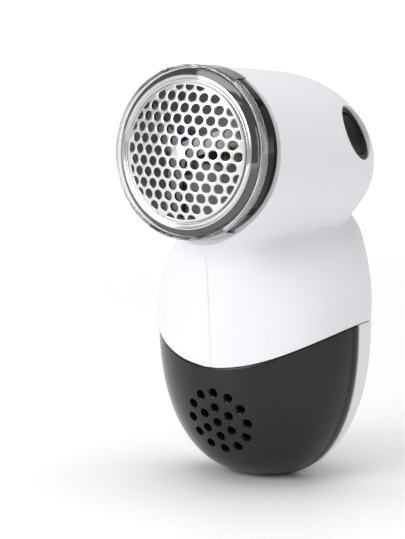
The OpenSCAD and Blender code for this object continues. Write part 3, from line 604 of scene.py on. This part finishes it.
def cup(way, from_y, inset, floor_z, corner, edge):
    """A row of points for each level, from +X round the end to -X. The levels sink from the seam's
    circle to the floor; y = near + (end - near) cos(90 j / n), x = sqrt of the form's square. A
    corner radius rounds the two upright edges, and the top edge sits a little deeper."""
    part = 1 - (1 - np.linspace(0, 1, LEVELS + 1)) ** SINK_POWER
    part = np.concatenate([[0.0], np.maximum(part, FIRST_SINK)]) if edge else part
    depth = inset + np.where(np.arange(len(part)) == 0, edge, 0.0)

    def height(y, share):
        circle = SEAM_Z + np.sqrt((SEAM_R - GAP / 2) ** 2 - (y - SEAM_Y) ** 2)
        return circle * (1 - share) + floor_z * share

    level_end = np.array([
        crossing(np.array(from_y), np.array(way * HALF_D * PAST_END),
                 lambda y, s=s, d=d: half_width2(y, height(y, s), d))
        for s, d in zip(part, depth + (BAND_STEP if corner and edge else 0.0))
    ])
    share = part[:, None]
    near = from_y + way * corner
    j = np.linspace(-90, 90, 2 * SIDE_POINTS + 1)
    y = near + (level_end[:, None] - near) * np.cos(np.radians(j))[None, :]
    sunk = BAND_STEP * np.clip((-y - BAND_W) / BAND_EASE, 0, 1)
    deep = depth[:, None] + (sunk if corner and edge else 0.0)
    x = np.sqrt(np.maximum(half_width2(y, height(y, share), deep), 0))
    x[:, SIDE_POINTS] = 0
    x = x * np.where(j < 0, 1, -1)
    if corner:
        turn = np.radians(np.linspace(0, 90, CORNER_STEPS))[:-1]
        y_corner = from_y + way * corner * (1 - np.cos(turn))
        y_corner = np.broadcast_to(y_corner, (len(part), len(turn)))
        x2 = half_width2(y_corner, height(y_corner, share), depth[:, None])
        x_corner = np.sqrt(np.maximum(x2, 0)) - corner * (1 - np.sin(turn))
        y = np.concatenate([y_corner, y, y_corner[:, ::-1]], 1)
        x = np.concatenate([x_corner, x, -x_corner[:, ::-1]], 1)
    return np.stack([x, y, height(y, share)], -1)


def lint_cup():
    """The bin: an outer cup and a lining with a straight wall in the parting plane."""
    outer = cup(-1, PARTING_Y - GAP / 2, 0.0, 0.0, CORNER, EDGE)
    lining = cup(-1, PARTING_Y - GAP / 2 - WALL, WALL, WALL, LINING_CORNER, 0.0)
    lining = np.concatenate([lining[:1], lining])
    columns, rows = outer.shape[:2]
    inner = columns * rows
    wall = grid_faces(columns, rows, False, True)
    top, end = np.arange(rows), (columns - 1) * rows + np.arange(rows)
    rim = band_faces(np.append(top, 0), inner + np.append(top, 0))
    faces = np.concatenate([wall, inner + wall[:, ::-1], rim]).tolist()
    faces += [end[::-1].tolist(), (inner + end).tolist()]
    return loose("Lint_bin", np.concatenate([outer.reshape(-1, 3), lining.reshape(-1, 3)]), faces)


def front_y(z):
    """The handle's outline in front at a height, in the middle plane."""
    return -HALF_D * (1 - ((MID_Z - z) / HALF_H) ** ROUND) ** (1 / ROUND)


def vent_cutters():
    """Countersunk cutters for the three rings of vents: each sits on the skin along the rings' axis."""
    lean = math.atan((front_y(VENT_Z + 1) - front_y(VENT_Z - 1)) / -2)
    axis = np.array([0, -math.cos(lean), -math.sin(lean)])
    upward = np.array([0, -math.sin(lean), math.cos(lean)])
    centre = np.array([0, front_y(VENT_Z), VENT_Z])
    profile = [
        [0, -6], [VENT_R, -6], [VENT_R, -0.22], [VENT_R + 0.25, 0.06], [VENT_R + 0.8, 0.7], [0, 0.7],
    ]
    cutters = []
    for count, ring_r in VENT_RINGS:
        for k in range(count):
            a = math.radians(90 + 360 * k / count)
            at = centre + ring_r * (math.cos(a) * np.array([1.0, 0, 0]) + math.sin(a) * upward)

            def inside(t, at=at):
                x, y, z = at + axis * t
                return half_width2(y, z) - x**2

            spot = at + axis * float(crossing(np.array(-9.0), np.array(6.0), inside))

            def place(p, spot=spot):
                p = np.asarray(p, float)
                return spot + p[:, :1] * (1, 0, 0) + p[:, 1:2] * upward + p[:, 2:] * axis

            cutters.append(turned("vent", profile, place, 36, False))
    return cutters


lint_bin = combine(lint_cup(), vent_cutters(), "DIFFERENCE")
piece(lint_bin, "bin", finish["smoky_bin"], ["lint_bin"])


def door_cup():
    """The door: a half bowl, open towards the bin."""
    outer = cup(1, PARTING_Y + GAP / 2, 0.0, 0.0, 0.0, EDGE)
    lining = cup(1, PARTING_Y + GAP / 2, WALL, WALL, 0.0, 0.0)
    lining = np.concatenate([lining[:1], lining])
    columns, rows = outer.shape[:2]
    inner = columns * rows
    end = (columns - 1) * rows + np.arange(rows)
    faces = shell_faces(columns, rows, False).tolist()
    faces += [end[::-1].tolist(), (inner + end).tolist()]
    faces += [np.concatenate([end[[0, -1]], inner + end[[-1, 0]]]).tolist()]
    return loose("Battery_door", np.concatenate([outer.reshape(-1, 3), lining.reshape(-1, 3)]), faces)


piece(door_cup(), "door", finish["white_shell"], ["battery_door"])

# ---------------------------------------------------------------- head's front

FOIL_R, DOME_R, FOIL_T, RIM_Z, FIELD_R = 19.5, 50.4, 0.3, 1.35, 18.8
PITCH, HOLE_R, HOLE_REACH, HOLE_POINTS, FOIL_POINTS = 3.57, 1.38, 5.35, 24, 192
LIP_W, LIP_H, FIELD_LIP, FIELD_EDGE, HOLE_MERGE = 0.11, 0.07, 0.1, 0.3, 4e-6
DOME_Z = RIM_Z - math.sqrt(DOME_R**2 - FOIL_R**2)

ring_profile = eased([
    [21, -3.4], [23.4, -3.4], [23.4, -0.8], [23.2, -0.3], [22.8, 0.1], [21.5, 1.2], [21.25, 1.25],
    [21.1, 0.8], [20.9, 0.75], [20.7, 0.95], [20.2, 1.25], [19.9, 1.15], [19.9, 0.32], [21, 0.32],
], 0.28)
piece(turned("Lock_ring", ring_profile, in_head, 288), "foil_head",
      finish["ring_chrome"], ["lock_ring"], 50)


def hole_centres():
    """A hexagonal field of places without its middle one: x = (u + v / 2) p, y = v p sqrt(3) / 2."""
    v, u = np.meshgrid(np.arange(-6, 7), np.arange(-9, 10), indexing="ij")
    x, y = (u + v / 2).ravel(), (v * math.sqrt(3) / 2).ravel()
    far = np.hypot(x, y)
    kept = (far > 0.5) & (far < HOLE_REACH)
    return np.stack([x[kept], y[kept]], -1) * PITCH


def dome_height(flat, inset=0.0):
    """Height of the dome above the ring's face at a distance from the axis."""
    r2 = (np.asarray(flat) ** 2).sum(-1)
    return DOME_Z + np.sqrt((DOME_R - inset) ** 2 - r2)


def foil_mesh():
    """The foil: the dome's plane is divided into triangles round the holes, and lifted to the dome
    z = c + sqrt(R^2 - r^2) outside and inside; each hole has a pressed lip and a wall."""
    centres = hole_centres()
    a = np.linspace(0, 2 * math.pi, HOLE_POINTS, endpoint=False)
    circle = np.stack([np.cos(a), np.sin(a)], -1)

    def rings(radius, limit):
        p = centres[:, None] + radius * circle[None]
        return p * np.minimum(1, limit / np.linalg.norm(p, axis=-1, keepdims=True))

    lip, edge = rings(HOLE_R + LIP_W, FIELD_R + FIELD_LIP), rings(HOLE_R, FIELD_R)
    b = np.linspace(0, 2 * math.pi, FOIL_POINTS, endpoint=False)
    border = np.stack([np.cos(b), np.sin(b)], -1) * (FIELD_R + FIELD_EDGE)
    points = np.concatenate([lip.reshape(-1, 2), border])
    loops = np.arange(len(lip) * HOLE_POINTS).reshape(len(lip), HOLE_POINTS)
    outline = loops.size + np.arange(FOIL_POINTS)
    pairs = np.concatenate([
        np.stack([loops, np.roll(loops, -1, 1)], -1).reshape(-1, 2),
        np.stack([outline, np.roll(outline, -1)], -1),
    ])
    flat, _, faces, origin, _, _ = delaunay_2d_cdt(
        [Vector(p) for p in points.tolist()], pairs.tolist(), [], 1, 1e-6
    )
    flat = np.array([list(p) for p in flat])
    mid = np.array([flat[f].mean(0) for f in faces])
    gap = np.linalg.norm(mid[:, None] - centres[None], axis=-1).min(1)
    web = (gap > HOLE_R + 0.08) | (np.linalg.norm(mid, axis=1) > FIELD_R + FIELD_LIP)
    faces = [face for face, is_web in zip(faces, web) if is_web]
    count = len(flat)
    number = {source: i for i, sources in enumerate(origin) for source in sources}
    rim = np.array([number[i] for i in loops.ravel()]).reshape(loops.shape)
    upper = 2 * count + np.arange(len(lip))[:, None] * 2 * HOLE_POINTS + np.arange(HOLE_POINTS)
    steps = [rim, upper, upper + HOLE_POINTS, count + rim]
    walls = [
        np.stack([high, np.roll(high, -1, 1), np.roll(low, -1, 1), low], -1).reshape(-1, 4)
        for high, low in zip(steps, steps[1:])
    ]
    top = np.concatenate([edge, dome_height(edge)[..., None] - LIP_H], -1)
    low = np.concatenate([edge, dome_height(edge, FOIL_T)[..., None]], -1)
    all_points = np.concatenate([
        np.column_stack([flat, dome_height(flat)]),
        np.column_stack([flat, dome_height(flat, FOIL_T)]),
        np.concatenate([top, low], 1).reshape(-1, 3),
    ])
    lining = [[count + i for i in face[::-1]] for face in faces]
    return all_points, faces + lining + np.concatenate(walls).tolist()


def foil():
    """The dome's web with a rim turned about the axis, which closes its edge."""
    points, faces = foil_mesh()
    edge_r = FIELD_R + FIELD_EDGE
    curve = eased([
        [edge_r, dome_height([edge_r, 0])],
        [FOIL_R - 0.12, RIM_Z + 0.02], [FOIL_R, RIM_Z - 0.2], [FOIL_R, FOIL_T + 0.02],
        [20.9, FOIL_T], [20.9, 0.0], [FOIL_R - FOIL_T, 0.0], [FOIL_R - FOIL_T, RIM_Z - 0.3],
        [edge_r, dome_height([edge_r, 0], FOIL_T)],
    ], 0.15, 4, False)
    a = np.linspace(0, 2 * math.pi, FOIL_POINTS, endpoint=False)[:, None]
    z = np.broadcast_to(curve[:, 1], (FOIL_POINTS, len(curve)))
    rim = np.stack([curve[:, 0] * np.cos(a), curve[:, 0] * np.sin(a), z], -1).reshape(-1, 3)
    rim_faces = (grid_faces(FOIL_POINTS, len(curve), True, False) + len(points)).tolist()
    return loose("Foil", in_head(np.concatenate([points, rim])), faces + rim_faces, HOLE_MERGE)


piece(foil(), "foil_head", finish["foil_steel"], ["foil"], 35)


COLLAR_R, NOTCHES, NOTCH_HALF, NOTCH_DEEP, NOTCH_BACK = 23.5, (40, 140, 220, 320), 1.2, 0.8, -7.5
HOOP_STEPS, TAB_HALF, TAB_EASE, TAB_LONG, TAB_FLARE = 720, 29, 1.6, 6.0, 0.15


def collar():
    """The band behind the ring: radius r(z) turned about the axis, sunk by a steep-sided notch at
    each bayonet slot: depth times the product of soft steps in the angle and in the height."""
    profile = eased([
        [20.8, -12], [22, -12], [22, -8.96], [COLLAR_R, -8.95], [COLLAR_R, -8.0], [COLLAR_R, -6.0],
        [COLLAR_R, -4.5], [COLLAR_R, -3.7], [21.0, -3.7], [21.0, -6.0], [20.8, -6.0],
    ], 0.22, 5)
    a = np.linspace(0, 2 * math.pi, HOOP_STEPS, endpoint=False)[:, None]
    r, z = profile[:, 0][None, :], profile[:, 1][None, :]
    off = np.stack([np.abs((np.degrees(a) - at + 180) % 360 - 180) for at in NOTCHES]).min(0)
    half = math.degrees(NOTCH_HALF / COLLAR_R)
    across = np.clip((half - off) / 0.5 + 0.5, 0, 1)
    along = np.clip((z - NOTCH_BACK) / 0.2, 0, 1) * (r > COLLAR_R - 0.6)
    r = r - NOTCH_DEEP * across * along
    points = np.stack([r * np.cos(a), r * np.sin(a), np.broadcast_to(z, r.shape)], -1)
    faces = grid_faces(HOOP_STEPS, len(profile), True, True)
    return loose("Head_collar", in_head(points.reshape(-1, 3)), faces)


piece(collar(), "body", finish["black_chrome"], ["head_collar"])


def guard():
    """Clear guard: a hoop whose rear edge reaches back in two broad tabs. The rear edge's height is
    blended between hoop and tab by a soft step in the angle, and the tab flares a little."""
    a = np.linspace(0, 360, HOOP_STEPS, endpoint=False)
    off = np.abs((a % 180) - 90)
    tab = np.clip((TAB_HALF - off) / TAB_EASE + 0.5, 0, 1)
    tab = (tab * tab * (3 - 2 * tab))[:, None]
    inner_r, outer_r = 23.85, 24.5
    profile = eased([
        [inner_r, 0.2], [outer_r, 0.2], [outer_r, -2.0], [outer_r, -2.8], [inner_r, -2.8],
        [inner_r, -2.0],
    ], 0.2, 5)
    r, z = profile[:, 0][None, :], profile[:, 1][None, :]
    low = np.clip((-1.9 - z) / 0.9, 0, 1) * tab
    r, z = r + TAB_FLARE * low, z - TAB_LONG * low
    a = np.radians(a)[:, None]
    points = np.stack([r * np.cos(a), r * np.sin(a), z], -1)
    faces = grid_faces(HOOP_STEPS, len(profile), True, True)
    return loose("Spacer_guard", in_head(points.reshape(-1, 3)), faces)


piece(guard(), "height_guard", finish["clear_guard"], ["spacer_guard"])

# ---------------------------------------------------------------- button

DISH_EDGE_R, DISH_EDGE, DISH_LOW, DISH_R = 5.75, -1.13, -2.3, 14.0

bezel_profile = eased([
    [6.5, -3.5], [8.2, -3.5], [8.2, -1.1], [8.0, -0.65], [7.6, -0.5], [6.8, -0.7], [6.5, -1.1],
], 0.3)
piece(turned("Button_bezel", bezel_profile, in_button, 144), "body",
      finish["bezel_dark"], ["button_bezel"], 60)


def button_profile():
    """The cap: a disc whose face is dished like a sphere, with an eased edge and a hidden flange."""
    r = np.linspace(0.0, DISH_EDGE_R, 26)
    dish = DISH_LOW + DISH_R - np.sqrt(DISH_R**2 - r**2)
    face = np.stack([r, np.minimum(dish, DISH_EDGE)], -1)
    side = eased([
        [DISH_EDGE_R, DISH_EDGE], [6.2, -1.15], [6.2, -3.8], [7.2, -3.8], [7.2, -4.8], [0.0, -4.8],
    ], 0.35, 5, False)
    return np.concatenate([face, side])


piece(turned("Button_cap", button_profile(), in_button, 144, False), "button",
      finish["cap_black"], ["button_cap"], 50)

# ---------------------------------------------------------------- pieces kept from the frame

kept = {
    "cutter_chamber": "chamber_grey", "cutter_hub": "hub_blue", "cutter_blades": "blade_steel",
    "hub_spring": "spring_steel", "motor_can": "motor_steel", "motor_magnets": "magnet_dark",
    "motor_armature": "armature_copper", "motor_shaft": "blade_steel", "shaft_bushes": "bronze",
    "motor_end_cap": "nylon_white", "motor_terminals": "terminal_brass",
    "motor_screws": "screw_steel", "motor_cradle": "inner_white", "lint_duct": "inner_white",
    "seam_floor": "inner_white", "battery_tray": "tray_grey", "battery_cells": "cell_jacket",
    "cell_springs": "spring_steel", "cell_contacts": "contact_nickel",
    "push_switch": "switch_black", "switch_plunger": "nylon_white",
    "switch_bracket": "board_green", "wire_positive": "lead_red", "wire_negative": "lead_black",
    "wire_motor": "lead_red", "housing_screws": "screw_steel",
}
for name, slot_name in kept.items():
    NODES[name].data.materials.clear()
    NODES[name].data.materials.append(finish[slot_name])

# ---------------------------------------------------------------- floor, lights and camera


FLOOR_FRONT, FLOOR_REAR, FLOOR_HALF, FLOOR_CURVE, FLOOR_TURN = -2.5, 3.2, 3.0, 0.9, 34


def floor():
    """A plain pale sheet that lies flat under the object and curves up far behind it."""
    bend = np.linspace(0.1, np.pi / 2, 20)
    level = np.linspace(FLOOR_FRONT, FLOOR_REAR, 10)
    run = np.concatenate([level, FLOOR_REAR + FLOOR_CURVE * np.sin(bend)])
    rise = np.concatenate([level * 0, FLOOR_CURVE * (1 - np.cos(bend))])
    across = np.linspace(-FLOOR_HALF, FLOOR_HALF, 9)[:, None]
    points = np.stack(np.broadcast_arrays(across, run[None, :], rise[None, :]), -1)
    turn = np.array(Matrix.Rotation(math.radians(FLOOR_TURN), 3, "Z"))
    mesh = bpy.data.meshes.new("Floor")
    faces = grid_faces(len(points), len(run)).tolist()
    mesh.from_pydata((points.reshape(-1, 3) @ turn.T).tolist(), [], faces)
    made = bpy.data.objects.new("Floor", mesh)
    bpy.context.scene.collection.objects.link(made)
    mesh.polygons.foreach_set("use_smooth", [True] * len(mesh.polygons))
    f = Finish("pale_floor")
    mottle = f.noise(6)
    f.feed("Base Color", f.blend(mottle, (0.86, 0.86, 0.865, 1), (0.90, 0.90, 0.90, 1)))
    f.feed("Roughness", mottle * 0.1 + 0.45)
    mesh.materials.append(f.material)


floor()


def panel(name, place, aim, width, height, watts, spread=180):
    """A soft light panel at a place, turned to face another; the spread is its beam's angle."""
    light = bpy.data.lights.new(name, "AREA")
    light.shape, light.size, light.size_y, light.energy = "RECTANGLE", width, height, watts
    light.spread = math.radians(spread)
    made = bpy.data.objects.new(name, light)
    bpy.context.scene.collection.objects.link(made)
    made.visible_camera = False
    made.location = place
    made.rotation_euler = (Vector(aim) - Vector(place)).to_track_quat("-Z", "Y").to_euler()


MIDDLE, FILL_HIGH, FILL_WIDE, FILL_WATTS, FILL_SPREAD = (0, 0, 0.06), 1.6, 1.8, 30, 75
panel("Key", (-0.4, -1.3, 0.7), MIDDLE, 0.8, 0.8, 12)
panel("Strip", (1.35, -0.75, 0.45), MIDDLE, 0.3, 1.1, 2.2)
panel("Edge", (0.78, 1.08, 0.3), MIDDLE, 0.2, 0.6, 0.7)
panel("Top", (-0.1, 0.0, 1.3), MIDDLE, 1.1, 1.1, 9)
for number, (across, behind) in enumerate([(-1.2, 1.8), (2.2, 0.6), (-2.2, -0.6), (1.2, -1.8)]):
    place, under = (across, behind, FILL_HIGH), (across, behind, 0)
    panel(f"Floor_fill_{number}", place, under, FILL_WIDE, FILL_WIDE, FILL_WATTS, FILL_SPREAD)

world = bpy.data.worlds.new("Studio")
bpy.context.scene.world = world
world.use_nodes = True
world.node_tree.nodes["Background"].inputs["Color"].default_value = (1, 1, 1, 1)
world.node_tree.nodes["Background"].inputs["Strength"].default_value = 0.53
bpy.context.scene.view_settings.view_transform = "Standard"

RIGHT, UP = Vector((0.831, 0.556, 0.0)), Vector((-0.0965, 0.1443, 0.985))
BACK = Vector((0.548, -0.8185, 0.1736))
RING_CENTRE = Vector((0, RING_Y, RING_Z))
AWAY, ASIDE, BELOW, SENSOR, LENS = 1109.76, 3.6096, 32.448, 36.0, 267.16
camera = bpy.data.objects.new("Camera", bpy.data.cameras.new("Camera"))
bpy.context.scene.collection.objects.link(camera)
spot = (RING_CENTRE + BACK * AWAY + RIGHT * ASIDE - UP * BELOW) * MM
camera.matrix_world = Matrix.Translation(spot) @ Matrix((RIGHT, UP, BACK)).transposed().to_4x4()
camera.data.sensor_width, camera.data.lens = SENSOR, LENS
camera.data.clip_start, camera.data.clip_end = 0.05, 20.0
bpy.context.scene.camera = camera
